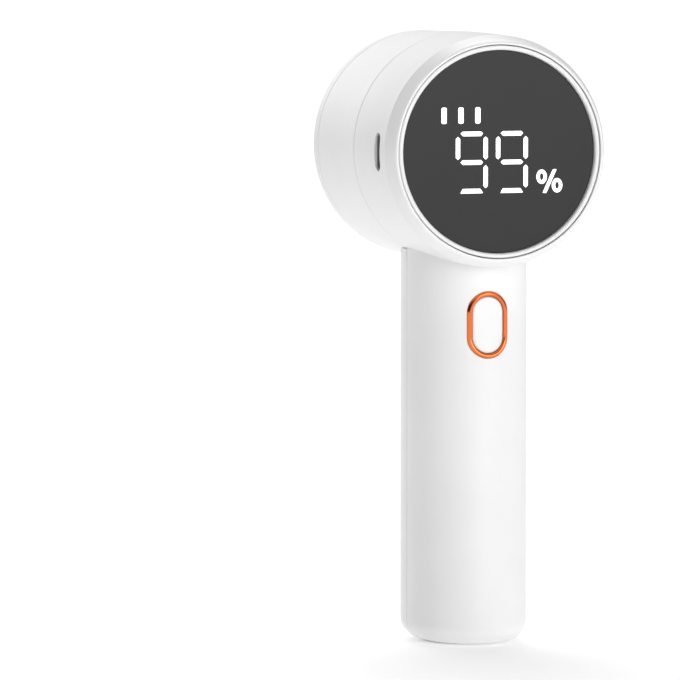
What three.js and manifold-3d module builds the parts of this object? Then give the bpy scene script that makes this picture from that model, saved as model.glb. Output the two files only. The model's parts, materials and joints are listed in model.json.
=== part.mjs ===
// Hand-held fabric shaver: a round head on a straight handle, standing on the flat end of the handle.
// Millimetres, +Z up. The origin is the centre of the flat foot. The display faces -Y, the cutting net
// faces +Y, and the charging socket is on the -X side of the head.

import * as THREE from 'three';
import { mergeVertices } from 'three/addons/utils/BufferGeometryUtils.js';
import Module from 'manifold-3d';

const wasm = await Module();
wasm.setup();

// ---------------------------------------------------------------- driving dimensions

const GAP = 0.3;            // clearance between neighbouring pieces
const SKIN = 1.5;           // wall of the head shells
const ROUND = 36;           // facets round the largest pieces
const HANDLE_SKIN = 1.8;    // wall of the handle shells

const HEAD_R = 31.9;        // outside of the round head, at the seam between its two halves
const HEAD_REAR_R = 31.4;   // the same where the rear shell ends
const HEAD_Z = 136;         // height of the head's axis
const HEAD_FRONT = -30;     // plane of the rim around the display
const RIM_DEPTH = 4.5;      // length of the rounding on the rim, along the axis
const RIM_INSET = 2.5;      // width of the same rounding, across the axis
const LOCK_SEAM = 33;       // seam between the rear shell and the net lock ring
const HEAD_BACK = 39.3;     // plane of the lock ring's rim

const HANDLE_HALF_X = 16.5;
const HANDLE_FRONT = { depth: 20.5, power: 2.2 };  // the button side of the handle's superellipse section
const HANDLE_REAR = { depth: 17, power: 2.6 };     // its lint bin side
const HANDLE_BOTTOM = 0.5;  // shells stop just above the floor, so that the pad carries the weight
const HANDLE_EDGE = 5.5;    // rounding of the lower end

const LENS_R = 27.3;
const LENS_FACE = -28.6;
const LENS_THICK = 1.7;
const TRIM_Y = [-29.4, -26.9];  // front and rear of the ring between the lens and the rim
const MOUTH_R = 29.1;       // opening in the rim that the trim ring and lens sit in

const NET_R = 28;
const NET_SEAT = 38.2;      // underside of the net at its edge
const NET_DOME = 2.5;       // height of the dome at its centre
const NET_THICK = 0.5;

const MOTOR_R = 11.9;
const MOTOR_BACK = -22.6;
const MOTOR_FACE = 4.3;
const MOUNT_FACE = 6.4;     // cutter side of the motor mount plate

const CELL_R = 9.1;         // 18650 lithium cell
const CELL_LENGTH = 65;
const CELL_Y = -5.6;
const CELL_Z = 6;

const BOARD_THICK = 1.2;    // round board behind the display

const BUTTON_Z = 88.4;
const BEZEL_SIZE = [11.7, 18.4];
const BEZEL_BAND = 1.4;     // width of the metal band
const WINDOW_Z = 60;
const WINDOW_SIZE = [17.5, 36.5];
const CORE_BACK = 5.6;      // rear face of the handle core
const LINER_BACK = 7.1;     // rear face of the bin liner, the front wall of the lint bin

// ---------------------------------------------------------------- solids

function solidFrom(geometry) {
  const bare = geometry.clone();
  bare.deleteAttribute('normal');
  bare.deleteAttribute('uv');
  const merged = mergeVertices(bare, 1e-4);
  const points = merged.attributes.position;
  const corners = [];
  let volume = 0;
  const a = new THREE.Vector3();
  const b = new THREE.Vector3();
  const c = new THREE.Vector3();
  for (let i = 0; i < merged.index.count; i += 3) {
    const [p, q, r] = [0, 1, 2].map((k) => merged.index.getX(i + k));
    if (p === q || q === r || r === p) continue;
    a.fromBufferAttribute(points, p);
    b.fromBufferAttribute(points, q);
    c.fromBufferAttribute(points, r);
    volume += a.dot(b.cross(c));
    corners.push([p, q, r]);
  }
  const outward = corners.map(([p, q, r]) => (volume > 0 ? [p, q, r] : [p, r, q]));
  const vertProperties = Float32Array.from(points.array);
  const triVerts = Uint32Array.from(outward.flat());
  return new wasm.Manifold(new wasm.Mesh({ numProp: 3, vertProperties, triVerts }));
}

function geometryFrom(solid) {
  const { vertProperties, triVerts } = solid.getMesh();
  const geometry = new THREE.BufferGeometry();
  geometry.setAttribute('position', new THREE.BufferAttribute(Float32Array.from(vertProperties), 3));
  geometry.setIndex(new THREE.BufferAttribute(Uint32Array.from(triVerts), 1));
  geometry.computeVertexNormals();
  return geometry;
}

// A profile of [radius, y] points turned about the Y axis.
function turned(profile, segments = 28) {
  const points = profile.map(([r, y]) => new THREE.Vector2(r, y));
  return solidFrom(new THREE.LatheGeometry(points, segments));
}

function disc(radius, y0, y1, segments = 28) {
  return turned([[0, y0], [radius, y0], [radius, y1], [0, y1]], segments);
}

function ring(inner, outer, y0, y1, segments = 28) {
  return turned([[inner, y0], [outer, y0], [outer, y1], [inner, y1], [inner, y0]], segments);
}

function block([x0, x1], [y0, y1], [z0, z1]) {
  const geometry = new THREE.BoxGeometry(x1 - x0, y1 - y0, z1 - z0);
  geometry.translate((x0 + x1) / 2, (y0 + y1) / 2, (z0 + z1) / 2);
  return solidFrom(geometry);
}

function upright(radius, z0, z1, segments = 24) {
  return disc(radius, z0, z1, segments).rotate([90, 0, 0]);
}

// A flat outline in X and Z, extruded from y0 to y1.
function slab(outline, y0, y1, curveSegments = 5) {
  const options = { depth: y1 - y0, bevelEnabled: false, curveSegments };
  const geometry = new THREE.ExtrudeGeometry(outline, options);
  geometry.rotateX(Math.PI / 2);
  geometry.translate(0, y1, 0);
  return geometry;
}

function stadium(width, height) {
  const radius = Math.min(width, height) / 2;
  const reachX = width / 2 - radius;
  const reachZ = height / 2 - radius;
  const outline = new THREE.Shape();
  outline.absarc(reachX, reachZ, radius, 0, Math.PI / 2, false);
  outline.absarc(-reachX, reachZ, radius, Math.PI / 2, Math.PI, false);
  outline.absarc(-reachX, -reachZ, radius, Math.PI, Math.PI * 1.5, false);
  outline.absarc(reachX, -reachZ, radius, Math.PI * 1.5, Math.PI * 2, false);
  outline.closePath();
  return outline;
}

// A small hole through an outline, as a polygon with a few sides.
function roundHole(x, z, radius, sides) {
  return new THREE.Path(Array.from({ length: sides }, (_, i) => {
    const turn = (-i / sides) * Math.PI * 2;
    return new THREE.Vector2(x + radius * Math.cos(turn), z + radius * Math.sin(turn));
  }));
}

function polygon(points) {
  return new THREE.Shape(points.map(([x, z]) => new THREE.Vector2(x, z)));
}

// A closed skin through rings of equally many points, with a flat fan on each end.
function loft(rings) {
  const count = rings[0].length;
  const positions = rings.flat().flatMap((p) => [p.x, p.y, p.z]);
  const index = [];
  for (let k = 0; k + 1 < rings.length; k += 1) {
    for (let i = 0; i < count; i += 1) {
      const next = (i + 1) % count;
      const [a, b, c, d] = [k * count + i, k * count + next, (k + 1) * count + next, (k + 1) * count + i];
      index.push(a, b, c, a, c, d);
    }
  }
  for (const [k, turn] of [[0, true], [rings.length - 1, false]]) {
    const middle = new THREE.Vector3();
    rings[k].forEach((p) => middle.addScaledVector(p, 1 / count));
    const centre = positions.length / 3;
    positions.push(middle.x, middle.y, middle.z);
    for (let i = 0; i < count; i += 1) {
      const [a, b] = [k * count + i, k * count + ((i + 1) % count)];
      index.push(centre, turn ? b : a, turn ? a : b);
    }
  }
  const geometry = new THREE.BufferGeometry();
  geometry.setAttribute('position', new THREE.Float32BufferAttribute(positions, 3));
  geometry.setIndex(index);
  return solidFrom(geometry);
}

// One level section of the handle: a superellipse, drawn in by an inset all round.
function handleRing(inset, z) {
  const count = 36;
  return Array.from({ length: count }, (_, i) => {
    const angle = (i / count) * Math.PI * 2;
    const [c, s] = [Math.cos(angle), Math.sin(angle)];
    const { depth, power } = s < 0 ? HANDLE_FRONT : HANDLE_REAR;
    const x = Math.sign(c) * Math.abs(c) ** (2 / power) * (HANDLE_HALF_X - inset);
    const y = Math.sign(s) * Math.abs(s) ** (2 / power) * (depth - inset);
    return new THREE.Vector3(x, y, z);
  });
}

function handleSolid(inset, bottom, top) {
  const edge = HANDLE_EDGE - inset;
  const steps = 3;
  const rings = [];
  for (let k = 0; k <= steps; k += 1) {
    const angle = (k / steps) * (Math.PI / 2);
    rings.push(handleRing(inset + edge * (1 - Math.sin(angle)), bottom + edge * (1 - Math.cos(angle))));
  }
  rings.push(handleRing(inset, top));
  return loft(rings);
}

// A round wire through a list of points.
function wire(points, radius) {
  const path = new THREE.CatmullRomCurve3(points.map((p) => new THREE.Vector3(...p)));
  const section = new THREE.Shape();
  section.absarc(0, 0, radius, 0, Math.PI * 2, false);
  const options = { steps: 10, curveSegments: 3, bevelEnabled: false, extrudePath: path };
  return solidFrom(new THREE.ExtrudeGeometry(section, options));
}

const FAR = 200;
const frontHalf = block([-FAR, FAR], [-FAR, -GAP / 2], [-FAR, FAR]);
const rearHalf = block([-FAR, FAR], [GAP / 2, FAR], [-FAR, FAR]);

// ---------------------------------------------------------------- materials and placing

const COLOURS = {
  shell: { color: 0xf4f4f5, roughness: 0.38, metalness: 0 },
  lens: { color: 0x2e2e30, roughness: 0.12, metalness: 0 },
  glow: { color: 0xffffff, roughness: 0.5, metalness: 0 },
  copper: { color: 0xc9743a, roughness: 0.25, metalness: 1 },
  steel: { color: 0xb9bcc0, roughness: 0.3, metalness: 1 },
  net: { color: 0xe6e7e9, roughness: 0.35, metalness: 0.6 },
  smoke: { color: 0x6c6c6e, roughness: 0.15, metalness: 0 },
  liner: { color: 0xb4b4b6, roughness: 0.5, metalness: 0 },
  board: { color: 0x1f6b3a, roughness: 0.6, metalness: 0 },
  rubber: { color: 0xdadadc, roughness: 0.8, metalness: 0 },
  dark: { color: 0x3a3a3d, roughness: 0.5, metalness: 0 },
  cell: { color: 0x2f62b5, roughness: 0.4, metalness: 0 },
  red: { color: 0xb03028, roughness: 0.5, metalness: 0 },
  brass: { color: 0xc7a24d, roughness: 0.35, metalness: 1 },
};

const group = new THREE.Group();
const head = new THREE.Group();
head.position.set(0, 0, HEAD_Z);
group.add(head);

function add(parent, name, solid, colour) {
  const geometry = solid.isBufferGeometry ? solid : geometryFrom(solid);
  const mesh = new THREE.Mesh(geometry, new THREE.MeshStandardMaterial(COLOURS[colour]));
  mesh.name = name;
  parent.add(mesh);
  return mesh;
}

// ---------------------------------------------------------------- housing

const CORE_SCREW_X = 8;
const CORE_SCREW_Z = 100.9;
const CORE_HALF_X = 13.9;
const CORE_WALL = 1.4;        // its rear wall
const CORE_SIDE = 1.2;        // its two side walls
const CORE_FRONT = -4;
const CORE_BOTTOM = 6.6;
const CORE_TOP = 103;
const CORE_SIDE_TOP = 98;
const CORE_BOSS_END = -16.7;  // the screw bosses end inside the front wall of the handle
const HEAD_SCREW_R = 26.4;
const HEAD_SCREW_ANGLES = [90, 210, 330];
const LEDGE_R = 29;          // inside of the ledge that the motor mount rests on
const SPOUT_OUTER = [16.4, [7.7, 15]];
const SPOUT_WALL = 1;
const SPOUT_END = -30.8;
const RIM_BACK = -25;         // rear face of the rim round the display
const HEAD_BOSS = [1.3, 2.3];  // inner and outer radius of a screw boss
const HEAD_BOSS_END = -22;
const SCREW_HOLE_R = 1.5;
const MOTOR_SCREW_X = 8;
const USB_Y = -19.3;
const USB_OPENING = [4.2, 10.4];
const PAD_HALF = [11, 11.5];
const PAD_THICK = 1.6;

const headPoint = (angle, radius) => {
  const turn = THREE.MathUtils.degToRad(angle);
  return [Math.cos(turn) * radius, 0, Math.sin(turn) * radius];
};

function headOuter() {
  const steps = 3;
  const profile = [[0, HEAD_FRONT]];
  for (let k = 0; k <= steps; k += 1) {
    const angle = (k / steps) * (Math.PI / 2);
    const radius = HEAD_R - RIM_INSET * (1 - Math.sin(angle));
    profile.push([radius, HEAD_FRONT + RIM_DEPTH * (1 - Math.cos(angle))]);
  }
  profile.push([HEAD_R, 0], [HEAD_REAR_R, LOCK_SEAM - GAP / 2], [0, LOCK_SEAM - GAP / 2]);
  return turned(profile, ROUND);
}

const headRoom = disc(HEAD_R - SKIN, RIM_BACK - 0.4, FAR, ROUND);
const mouth = disc(MOUTH_R, -FAR, RIM_BACK, ROUND);
const padRoom = upright(1, -FAR, PAD_THICK + GAP, 32).scale([PAD_HALF[0] + GAP, PAD_HALF[1] + GAP, 1]);

function frontShell() {
  const outer = headOuter().translate([0, 0, HEAD_Z]).add(handleSolid(0, HANDLE_BOTTOM, HEAD_Z - 20));
  const inner = headRoom.add(mouth).translate([0, 0, HEAD_Z])
    .add(handleSolid(HANDLE_SKIN, HANDLE_BOTTOM + 2, HEAD_Z - 20));
  let shell = outer.subtract(inner).intersect(frontHalf);
  for (const angle of HEAD_SCREW_ANGLES) {
    const [x, , z] = headPoint(angle, HEAD_SCREW_R);
    const boss = ring(...HEAD_BOSS, HEAD_BOSS_END, MOTOR_FACE, 8).translate([x, 0, z + HEAD_Z]);
    const rib = block([-0.6, 0.6], [HEAD_BOSS_END, -GAP], [2, 5.2]).rotate([0, 90 - angle, 0]);
    shell = shell.add(boss).add(rib.translate([x, 0, z + HEAD_Z]));
  }
  for (const side of [-1, 1]) {
    const boss = ring(...HEAD_BOSS, CORE_BOSS_END, CORE_BACK - CORE_WALL - GAP, 8);
    shell = shell.add(boss.translate([side * CORE_SCREW_X, 0, CORE_SCREW_Z]));
  }
  const [width, height] = BEZEL_SIZE.map((side) => side + 2 * GAP);
  const buttonHole = solidFrom(slab(stadium(width, height), -24, -15)).translate([0, 0, BUTTON_Z]);
  const socketHole = solidFrom(slab(stadium(...USB_OPENING), -3, 3)).rotate([0, 0, 90])
    .translate([SKIN / 2 - HEAD_R, USB_Y, HEAD_Z]);
  return shell.subtract(buttonHole).subtract(socketHole).subtract(padRoom);
}

function rearShell() {
  const [width, [y0, y1]] = SPOUT_OUTER;
  const throat = block([-width / 2 - GAP, width / 2 + GAP], [y0 - GAP, y1 + GAP], [-40, -20]);
  const ledge = ring(LEDGE_R, HEAD_R - SKIN + 0.2, 1, MOTOR_FACE, ROUND);
  return headOuter().intersect(rearHalf).subtract(headRoom).add(ledge).subtract(throat);
}

function binCover() {
  const outer = handleSolid(0, HANDLE_BOTTOM, HEAD_Z - 20);
  const inner = handleSolid(HANDLE_SKIN, HANDLE_BOTTOM + 2, HEAD_Z - 20);
  const [width, height] = WINDOW_SIZE;
  const hole = solidFrom(slab(stadium(width + 2 * GAP, height + 2 * GAP), 8, 20)).translate([0, 0, WINDOW_Z]);
  return outer.subtract(inner).intersect(rearHalf)
    .subtract(disc(HEAD_R + GAP, -FAR, FAR, ROUND).translate([0, 0, HEAD_Z]))
    .subtract(hole).subtract(padRoom);
}

function binWindow() {
  const skin = handleSolid(0.15, HANDLE_BOTTOM, HEAD_Z - 40)
    .subtract(handleSolid(HANDLE_SKIN, HANDLE_BOTTOM + 2, HEAD_Z - 30));
  return skin.intersect(solidFrom(slab(stadium(...WINDOW_SIZE), 8, 20)).translate([0, 0, WINDOW_Z]));
}

function handleCore() {
  let core = block([-CORE_HALF_X, CORE_HALF_X], [CORE_BACK - CORE_WALL, CORE_BACK], [CORE_BOTTOM, CORE_TOP]);
  for (const side of [-1, 1]) {
    const reach = [CORE_HALF_X - CORE_SIDE, CORE_HALF_X].map((x) => side * x).sort((a, b) => a - b);
    core = core.add(block(reach, [CORE_FRONT, CORE_BACK], [CORE_BOTTOM, CORE_SIDE_TOP]));
  }
  for (const side of [-1, 1]) {
    const hole = disc(SCREW_HOLE_R, 0, 10, 8).translate([side * CORE_SCREW_X, 0, CORE_SCREW_Z]);
    core = core.subtract(hole);
  }
  return core;
}

function binLiner() {
  const [width, z0, z1] = [24, 12, 97];
  const vents = { x: 2.9, pitch: 5.95, radius: 0.5, reach: 4 };
  const outline = stadium(width, z1 - z0);
  for (const column of [-1, 1]) {
    for (let row = -vents.reach; row <= vents.reach; row += 1) {
      const z = row * vents.pitch + WINDOW_Z - (z0 + z1) / 2;
      outline.holes.push(roundHole(column * vents.x, z, vents.radius, 4));
    }
  }
  const options = { depth: LINER_BACK - CORE_BACK - GAP, bevelEnabled: false, curveSegments: 5 };
  const geometry = new THREE.ExtrudeGeometry(outline, options);
  geometry.rotateX(Math.PI / 2);
  geometry.translate(0, LINER_BACK, (z0 + z1) / 2);
  return solidFrom(geometry);
}

add(group, 'front_shell', frontShell(), 'shell');
add(head, 'rear_shell', rearShell(), 'shell');
add(group, 'bin_cover', binCover(), 'shell');
add(group, 'bin_window', binWindow(), 'smoke');
add(group, 'handle_core', handleCore(), 'shell');
add(group, 'bin_liner', binLiner(), 'liner');
add(group, 'base_pad', upright(1, 0, PAD_THICK, 32).scale([PAD_HALF[0], PAD_HALF[1], 1]), 'rubber');

// ---------------------------------------------------------------- display

const DIGIT_W = 9.3;
const DIGIT_H = 16.9;
const DIGIT_X = [-7.7, 3.8];
const STROKE = 1.5;
const SEGMENT_GAP = 0.6;
const GLYPH_Z = -2.8;
const GLYPH_HEIGHT = 0.5;
const BARS = { x: [-15.7, -10.8, -6], z: 9.9, size: [1.6, 4.5] };
const PERCENT = { x: 14.65, z: -8.15, slash: 7.2, tilt: 25, dot: 1.6, dots: [[12.4, -6.95], [16.9, -9.35]] };
const PLATE_R = 25.2;         // light guide and display board
const PLATE_FACE = -26.2;
const PLATE_BACK = -25.3;
const FRAME = { inner: 25.5, face: 28.7, flange: 30.1, front: -26.6, step: -25, back: -23.6 };

// A seven-segment bar lying along X, with mitred ends.
function barOutline(length) {
  const [half, tip] = [STROKE / 2, length / 2];
  const [left, right] = [half - tip, tip - half];
  return polygon([[-tip, 0], [left, -half], [right, -half], [tip, 0], [right, half], [left, half]]);
}

// The six lit segments of the digit nine.
function nineSegments(centreX) {
  const [reachX, reachZ] = [(DIGIT_W - STROKE) / 2, (DIGIT_H - STROKE) / 2];
  const flat = [[0, reachZ], [0, 0], [0, -reachZ]]
    .map(([x, z]) => ({ x, z, length: 2 * reachX - SEGMENT_GAP, turn: 0 }));
  const tall = [[-reachX, reachZ / 2], [reachX, reachZ / 2], [reachX, -reachZ / 2]]
    .map(([x, z]) => ({ x, z, length: reachZ - SEGMENT_GAP, turn: 90 }));
  return [...flat, ...tall].map(({ x, z, length, turn }) => solidFrom(slab(barOutline(length), 0, GLYPH_HEIGHT))
    .rotate([0, turn, 0]).translate([centreX + x, 0, GLYPH_Z + z]));
}

function lightGuide() {
  const raise = (solid) => solid.translate([0, PLATE_FACE - GLYPH_HEIGHT + 0.1, 0]);
  let guide = disc(PLATE_R, PLATE_FACE, PLATE_BACK, 24);
  for (const x of DIGIT_X) {
    nineSegments(x).forEach((segment) => { guide = guide.add(raise(segment)); });
  }
  for (const x of BARS.x) {
    const bar = solidFrom(slab(stadium(...BARS.size), 0, GLYPH_HEIGHT, 2));
    guide = guide.add(raise(bar.translate([x, 0, BARS.z])));
  }
  const slash = block([-0.5, 0.5], [0, GLYPH_HEIGHT], [-PERCENT.slash / 2, PERCENT.slash / 2]);
  guide = guide.add(raise(slash.rotate([0, PERCENT.tilt, 0]).translate([PERCENT.x, 0, PERCENT.z])));
  for (const [x, z] of PERCENT.dots) {
    guide = guide.add(raise(disc(PERCENT.dot, 0, GLYPH_HEIGHT, 8).translate([x, 0, z])));
  }
  return guide;
}

const displayFrame = turned([
  [FRAME.inner, FRAME.front], [FRAME.face, FRAME.front], [FRAME.face, FRAME.step], [FRAME.flange, FRAME.step],
  [FRAME.flange, FRAME.back], [FRAME.inner, FRAME.back], [FRAME.inner, FRAME.front],
]);

add(head, 'display_lens', disc(LENS_R, LENS_FACE, LENS_FACE + LENS_THICK, ROUND), 'lens');
add(head, 'display_trim_ring', ring(LENS_R + GAP, MOUTH_R - GAP, ...TRIM_Y, ROUND), 'shell');
add(head, 'display_light_guide', lightGuide(), 'glow');
add(head, 'display_frame', displayFrame, 'dark');
add(head, 'display_pcb', disc(PLATE_R, PLATE_BACK + GAP, PLATE_BACK + GAP + BOARD_THICK, 24), 'board');

// ---------------------------------------------------------------- power button

const BEZEL_FRONT = -20.7;
const BEZEL_DEPTH = 2.6;
const CAP_FRONT = -20.6;
const FLANGE_FRONT = -17.3; // the flange stays behind the handle's front wall
const STEM_END = -12.4;     // just above the switch when the button is pressed
const STEM_R = 1.6;
const FLANGE_WIDER = 2.4;   // the flange is this much larger than the cap, both ways
const BOARD_FRONT = -9.6;
const SWITCH_DEPTH = 1.4;

function buttonCap() {
  const [width, height] = BEZEL_SIZE.map((side) => side - 2 * BEZEL_BAND - 2 * GAP);
  const face = solidFrom(slab(stadium(width, height), CAP_FRONT, FLANGE_FRONT + 0.1));
  const larger = stadium(width + FLANGE_WIDER, height + FLANGE_WIDER);
  const flange = solidFrom(slab(larger, FLANGE_FRONT, FLANGE_FRONT + 0.8));
  return face.add(flange).add(disc(STEM_R, FLANGE_FRONT + 0.3, STEM_END, 12)).translate([0, 0, BUTTON_Z]);
}

function buttonBezel() {
  const outline = stadium(...BEZEL_SIZE);
  outline.holes.push(stadium(...BEZEL_SIZE.map((side) => side - 2 * BEZEL_BAND)));
  return solidFrom(slab(outline, BEZEL_FRONT, BEZEL_FRONT + BEZEL_DEPTH)).translate([0, 0, BUTTON_Z]);
}

add(group, 'button_bezel', buttonBezel(), 'copper');
add(group, 'power_button', buttonCap(), 'shell');
const SWITCH_Y = [BOARD_FRONT - GAP - SWITCH_DEPTH, BOARD_FRONT - GAP];
add(group, 'power_switch', block([-3, 3], SWITCH_Y, [BUTTON_Z - 3, BUTTON_Z + 3]), 'dark');
add(group, 'main_pcb', block([-12, 12], [BOARD_FRONT, BOARD_FRONT + 1.6], [76, 98.4]), 'board');

// ---------------------------------------------------------------- charging socket

const USB_SIZE = [3.6, 9.4];
const USB_LENGTH = 6.6;
const USB_END = -24.8;      // closed inner end of the metal sleeve

function usbSocket() {
  const outline = stadium(...USB_SIZE);
  outline.holes.push(stadium(...USB_SIZE.map((side) => side - 1)));
  const sleeve = solidFrom(slab(outline, 0, USB_LENGTH, 3));
  const end = solidFrom(slab(stadium(...USB_SIZE), 0, 0.8, 3));
  return sleeve.add(end).rotate([0, 0, 90]).translate([USB_END, USB_Y, 0]);
}

add(head, 'usb_socket', usbSocket(), 'steel');
add(head, 'usb_tongue', block([USB_END - 5.8, USB_END - 1.1], [USB_Y - 0.35, USB_Y + 0.35], [-3.3, 3.3]), 'dark');
const CHARGE_Y = USB_Y + USB_SIZE[0] / 2 + GAP;
add(head, 'charge_pcb', block([-28.5, -16], [CHARGE_Y, CHARGE_Y + 1], [-8, 8]), 'board');

// ---------------------------------------------------------------- motor

const CAN_END = -19.5;      // open end of the can
const CAN_WALL = 0.8;
const SHAFT_R = 1;
const SHAFT_Y = [-22, 29];
const SHAFT_BORE = 1.3;     // bore of every piece pressed on the shaft
const BUSH = [1.08, 2.3];   // inner and outer radius of the two bushes
const BUSH_HOLE_R = 2.6;
const MAGNET = { inner: 9.2, outer: 10.8, y: [-16, -1] };
const POLES = { inner: 7.2, outer: 8.6, y: [-14, -3] };

function motorCan() {
  const can = turned([
    [0, MOTOR_FACE], [MOTOR_R, MOTOR_FACE], [MOTOR_R, CAN_END], [MOTOR_R - CAN_WALL, CAN_END],
    [MOTOR_R - CAN_WALL, MOTOR_FACE - 1], [0, MOTOR_FACE - 1],
  ], 32);
  const holes = [-1, 1].map((side) => disc(SCREW_HOLE_R, 0, 10, 8).translate([side * MOTOR_SCREW_X, 0, 0]));
  return can.subtract(disc(BUSH_HOLE_R, 0, 10, 16)).subtract(holes[0]).subtract(holes[1]);
}

function magnet(side) {
  const tube = ring(MAGNET.inner, MAGNET.outer, ...MAGNET.y, 32);
  return tube.intersect(block([side > 0 ? 2 : -20, side > 0 ? 20 : -2], [-20, 20], [-20, 20]));
}

function rotorCore() {
  let poles = ring(POLES.inner, POLES.outer, ...POLES.y, 30);
  for (const turn of [30, 90, 150]) {
    poles = poles.subtract(block([-9, 9], [-20, 5], [-0.9, 0.9]).rotate([0, turn, 0]));
  }
  const shaftRoom = disc(3, -20, 5, 18);
  let core = ring(SHAFT_BORE, 4.4, POLES.y[0] - 1, POLES.y[1] + 1, 18).add(poles);
  for (const turn of [0, 60, 120]) {
    const arm = block([-8, 8], [POLES.y[0] + 0.5, POLES.y[1] - 0.5], [-1.2, 1.2]);
    core = core.add(arm.rotate([0, turn, 0]).subtract(shaftRoom));
  }
  return core;
}

function motorMount() {
  let plate = ring(4, HEAD_R - SKIN - 0.6, MOTOR_FACE + GAP, MOUNT_FACE);
  for (const side of [-1, 1]) {
    plate = plate.subtract(disc(SCREW_HOLE_R, 0, 10, 8).translate([side * MOTOR_SCREW_X, 0, 0]));
  }
  for (const angle of HEAD_SCREW_ANGLES) {
    plate = plate.subtract(disc(HEAD_BOSS[0], 0, 10, 8).translate(headPoint(angle, HEAD_SCREW_R)));
  }
  return plate;
}

// A pan-head screw whose head rests just above the plane y = seat, its shank towards -Y.
function screw(seat, length, shank = 1, headR = 2, headH = 0.7) {
  const top = seat + GAP + headH;
  return turned([[0, seat - length], [shank, seat - length], [shank, seat + GAP], [headR, seat + GAP],
    [headR, top - 0.2], [headR - 0.4, top], [0, top]], 12);
}

add(head, 'motor_can', motorCan(), 'steel');
add(head, 'motor_end_cap', ring(BUSH_HOLE_R, MOTOR_R, MOTOR_BACK, CAN_END - GAP, 32), 'dark');
add(head, 'motor_magnet_left', magnet(-1), 'dark');
add(head, 'motor_magnet_right', magnet(1), 'dark');
add(head, 'motor_bush_front', ring(...BUSH, MOTOR_FACE - 1.7, MOTOR_FACE + 0.6, 16), 'brass');
add(head, 'motor_bush_rear', ring(...BUSH, MOTOR_BACK + 0.2, CAN_END - 0.5, 16), 'brass');
add(head, 'motor_mount', motorMount(), 'shell');
[-1, 1].forEach((side) => {
  const name = side < 0 ? 'motor_screw_left' : 'motor_screw_right';
  add(head, name, screw(MOUNT_FACE, 4).translate([side * MOTOR_SCREW_X, 0, 0]), 'steel');
  const coreName = side < 0 ? 'core_screw_left' : 'core_screw_right';
  add(group, coreName, screw(CORE_BACK, 9).translate([side * CORE_SCREW_X, 0, CORE_SCREW_Z]), 'steel');
});
HEAD_SCREW_ANGLES.forEach((angle, i) => {
  add(head, `head_screw_${i + 1}`, screw(MOUNT_FACE, 9).translate(headPoint(angle, HEAD_SCREW_R)), 'steel');
});

// ---------------------------------------------------------------- rotor: shaft, core, fan, blade disc

const CARRIER_R = 23.4;
const CARRIER_Y = [30, 32];
const BLADE_RADII = [4.5, 22.3];
const BLADE_COUNT = 6;
const BLADE_FOOT = 33.8;    // lower edge of the blades
const WINDOW_RADII = [15.4, 20.8];
const WINDOW_HALF = [0.3, 0.34];  // half angles of the openings at those radii
const FAN = { radius: 19, hub: 5, y: 10, hubEnd: 16.5, vanes: 8 };
const HUB_R = 4.2;          // hexagonal drive hub, corner radius
const HUB_Y = [18, 29.4];
const netUnder = (radius) => NET_SEAT + NET_DOME * (1 - (radius / NET_R) ** 2);

function suctionFan() {
  const hub = ring(SHAFT_BORE, FAN.hub, FAN.y, FAN.hubEnd, 12);
  let fan = ring(SHAFT_BORE, FAN.radius, FAN.y, FAN.y + 1, 24).add(hub);
  for (let k = 0; k < FAN.vanes; k += 1) {
    const vane = block([FAN.hub - 0.5, FAN.radius - 0.4], [FAN.y + 0.5, FAN.hubEnd - 0.5], [-0.6, 0.6]);
    fan = fan.add(vane.rotate([0, k * (360 / FAN.vanes), 0]));
  }
  return fan;
}

function driveHub() {
  return ring(SHAFT_BORE, HUB_R, ...HUB_Y, 6);
}

function bladeCarrier() {
  const outline = new THREE.Shape();
  outline.absarc(0, 0, CARRIER_R, 0, Math.PI * 2, false);
  const spacing = (Math.PI * 2) / BLADE_COUNT;
  for (let k = 0; k < BLADE_COUNT; k += 1) {
    const middle = (k + 0.5) * spacing;
    const opening = new THREE.Path();
    opening.absarc(0, 0, WINDOW_RADII[1], middle - WINDOW_HALF[1], middle + WINDOW_HALF[1], false);
    opening.absarc(0, 0, WINDOW_RADII[0], middle + WINDOW_HALF[0], middle - WINDOW_HALF[0], true);
    opening.closePath();
    outline.holes.push(opening);
  }
  let carrier = solidFrom(slab(outline, ...CARRIER_Y)).add(disc(14, 31, 33.3, 24)).add(disc(7, 24.5, 31, 12));
  for (let k = 0; k < BLADE_COUNT; k += 1) {
    const degrees = k * (360 / BLADE_COUNT);
    const holder = block([8, CARRIER_R - 1], [31, 36], [-1.6, 1.6]);
    const slot = block([BLADE_RADII[0] - 1, 30], [33.5, 50], [-0.6, 0.6]);
    carrier = carrier.add(holder.rotate([0, degrees, 0])).subtract(slot.rotate([0, degrees, 0]));
  }
  return carrier.subtract(disc(HUB_R + GAP + 0.2, 20, HUB_Y[1] + 0.4, 6));
}

// A blade standing on edge along +X, its top edge following the dome of the net.
function blade() {
  const clearance = 0.4;
  const [r0, r1] = BLADE_RADII;
  const side = new THREE.Shape();
  side.moveTo(r0, BLADE_FOOT);
  side.lineTo(r1, BLADE_FOOT);
  for (let k = 4; k >= 0; k -= 1) {
    const r = r0 + ((r1 - r0) * k) / 4;
    side.lineTo(r, netUnder(r) - clearance);
  }
  side.closePath();
  const geometry = new THREE.ExtrudeGeometry(side, { depth: 0.5, bevelEnabled: false });
  geometry.translate(0, 0, -0.25);
  return solidFrom(geometry);
}

add(head, 'motor_shaft', disc(SHAFT_R, ...SHAFT_Y, 16), 'steel');
add(head, 'rotor_core', rotorCore(), 'dark');
add(head, 'suction_fan', suctionFan(), 'shell');
add(head, 'drive_hub', driveHub(), 'dark');
add(head, 'blade_carrier', bladeCarrier(), 'shell');
for (let k = 0; k < BLADE_COUNT; k += 1) {
  const mesh = add(head, `blade_${k + 1}`, blade(), 'steel');
  mesh.rotation.y = THREE.MathUtils.degToRad(k * (360 / BLADE_COUNT));
}

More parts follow.
